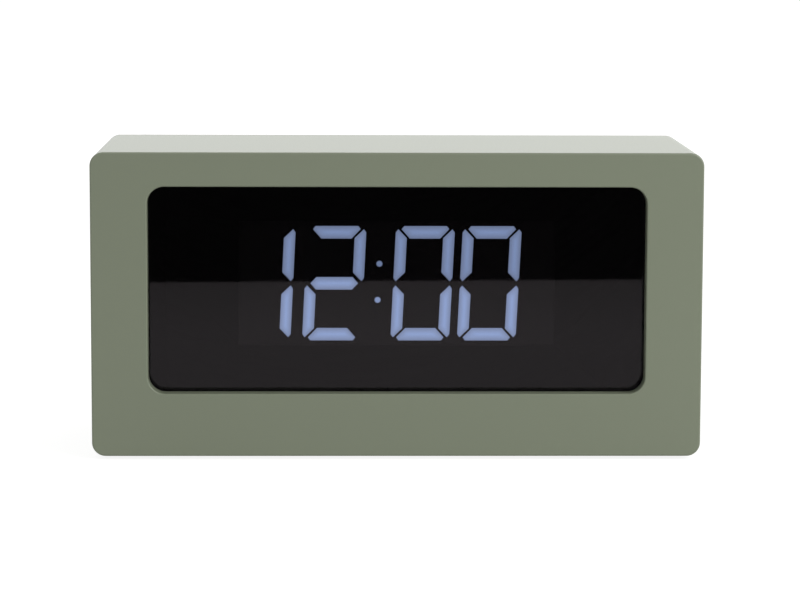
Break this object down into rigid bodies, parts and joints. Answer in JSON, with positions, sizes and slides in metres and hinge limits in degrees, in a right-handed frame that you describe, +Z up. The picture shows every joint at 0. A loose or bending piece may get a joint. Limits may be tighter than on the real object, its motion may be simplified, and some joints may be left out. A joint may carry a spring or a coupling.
{
  "type": "digital led desk clock",
  "caption": "Box-shaped digital desk clock with a recessed smoked window, slanted LED digits, set keys, an alarm slide switch, a power socket and a battery door at the back.",
  "frame": {"origin": "on the table under the middle of the case, at the bottom of the feet", "axes": "+X to the right of someone reading the clock, +Y from the front to the back, +Z up"},
  "size_m": [0.16, 0.064, 0.081],
  "materials": {
    "case_abs": "fine-textured sage-green moulded ABS",
    "cover_abs": "sage-green moulded ABS, slightly darker",
    "smoked_acrylic": "smoked, polished acrylic",
    "foam_tape": "black double-sided foam tape",
    "frame_black": "black moulded ABS",
    "digit_black": "black moulded LED housing",
    "segment_lit": "milky diffuser, lit cool blue-white",
    "segment_dark": "milky grey diffuser, unlit",
    "led_resin": "yellowish LED resin",
    "circuit_board": "green solder mask",
    "chip_epoxy": "black moulded epoxy",
    "plug_nylon": "natural nylon",
    "ribbon_pvc": "grey PVC ribbon",
    "can_metal": "drawn metal cans",
    "buzzer_black": "black moulded case",
    "switch_black": "black moulded switch bodies",
    "switch_stem": "dark moulded stems",
    "key_charcoal": "charcoal moulded keys",
    "usb_steel": "plated steel shell",
    "screw_steel": "zinc-plated steel",
    "cell_jacket": "plain printed cell jacket",
    "contact_nickel": "nickel-plated spring steel",
    "lead_pvc": "PVC-insulated wire",
    "foot_rubber": "black rubber"
  },
  "bodies": {
    "clock": {"alarm_switch_body": "switch_black", "battery_cells": "cell_jacket", "battery_leads": "lead_pvc", "buzzer": "buzzer_black", "capacitors": "can_metal", "case_shell": "case_abs", "clock_chip": "chip_epoxy", "colon_dots": "segment_lit", "contact_plates": "contact_nickel", "contact_springs": "contact_nickel", "cover_screws": "screw_steel", "crystal": "can_metal", "digit_block": "digit_black", "display_board": "circuit_board", "display_board_screws": "screw_steel", "display_frame": "frame_black", "display_lens": "smoked_acrylic", "display_ribbon": "ribbon_pvc", "driver_chip": "chip_epoxy", "frame_screws": "screw_steel", "hour_tens_segments": "segment_lit", "hour_units_segments": "segment_lit", "led_chips": "led_resin", "lens_tape": "foam_tape", "main_board": "circuit_board", "main_board_screws": "screw_steel", "minute_tens_segments": "segment_lit", "minute_units_segments": "segment_lit", "press_switches": "switch_black", "rear_cover": "cover_abs", "ribbon_plugs": "plug_nylon", "rubber_feet": "foot_rubber", "unlit_segments": "segment_dark", "usb_shell": "usb_steel", "usb_tongue": "switch_black"},
    "plus": {"plus_key": "key_charcoal", "plus_plunger": "switch_stem"},
    "minus": {"minus_key": "key_charcoal", "minus_plunger": "switch_stem"},
    "alarm": {"alarm_key": "key_charcoal", "alarm_plunger": "switch_stem"},
    "mode": {"mode_key": "key_charcoal", "mode_plunger": "switch_stem"},
    "slider": {"alarm_slider": "key_charcoal", "alarm_switch_lever": "switch_stem"},
    "door": {"battery_door": "cover_abs"}
  },
  "joints": [
    {"name": "plus_press", "type": "slide", "parent": "clock", "child": "plus", "axis": [0, -1, 0], "range_m": [0, 0.0008], "stiffness_N_per_m": 1500},
    {"name": "minus_press", "type": "slide", "parent": "clock", "child": "minus", "axis": [0, -1, 0], "range_m": [0, 0.0008], "stiffness_N_per_m": 1500},
    {"name": "alarm_press", "type": "slide", "parent": "clock", "child": "alarm", "axis": [0, -1, 0], "range_m": [0, 0.0008], "stiffness_N_per_m": 1500},
    {"name": "mode_press", "type": "slide", "parent": "clock", "child": "mode", "axis": [0, -1, 0], "range_m": [0, 0.0008], "stiffness_N_per_m": 1500},
    {"name": "alarm_slide", "type": "slide", "parent": "clock", "child": "slider", "axis": [1, 0, 0], "range_m": [0, 0.004]},
    {"name": "door_tilt", "type": "hinge", "parent": "clock", "child": "door", "pos_m": [0, 0.031, 0.0093], "axis": [-1, 0, 0], "range_deg": [0, 70]}
  ]
}
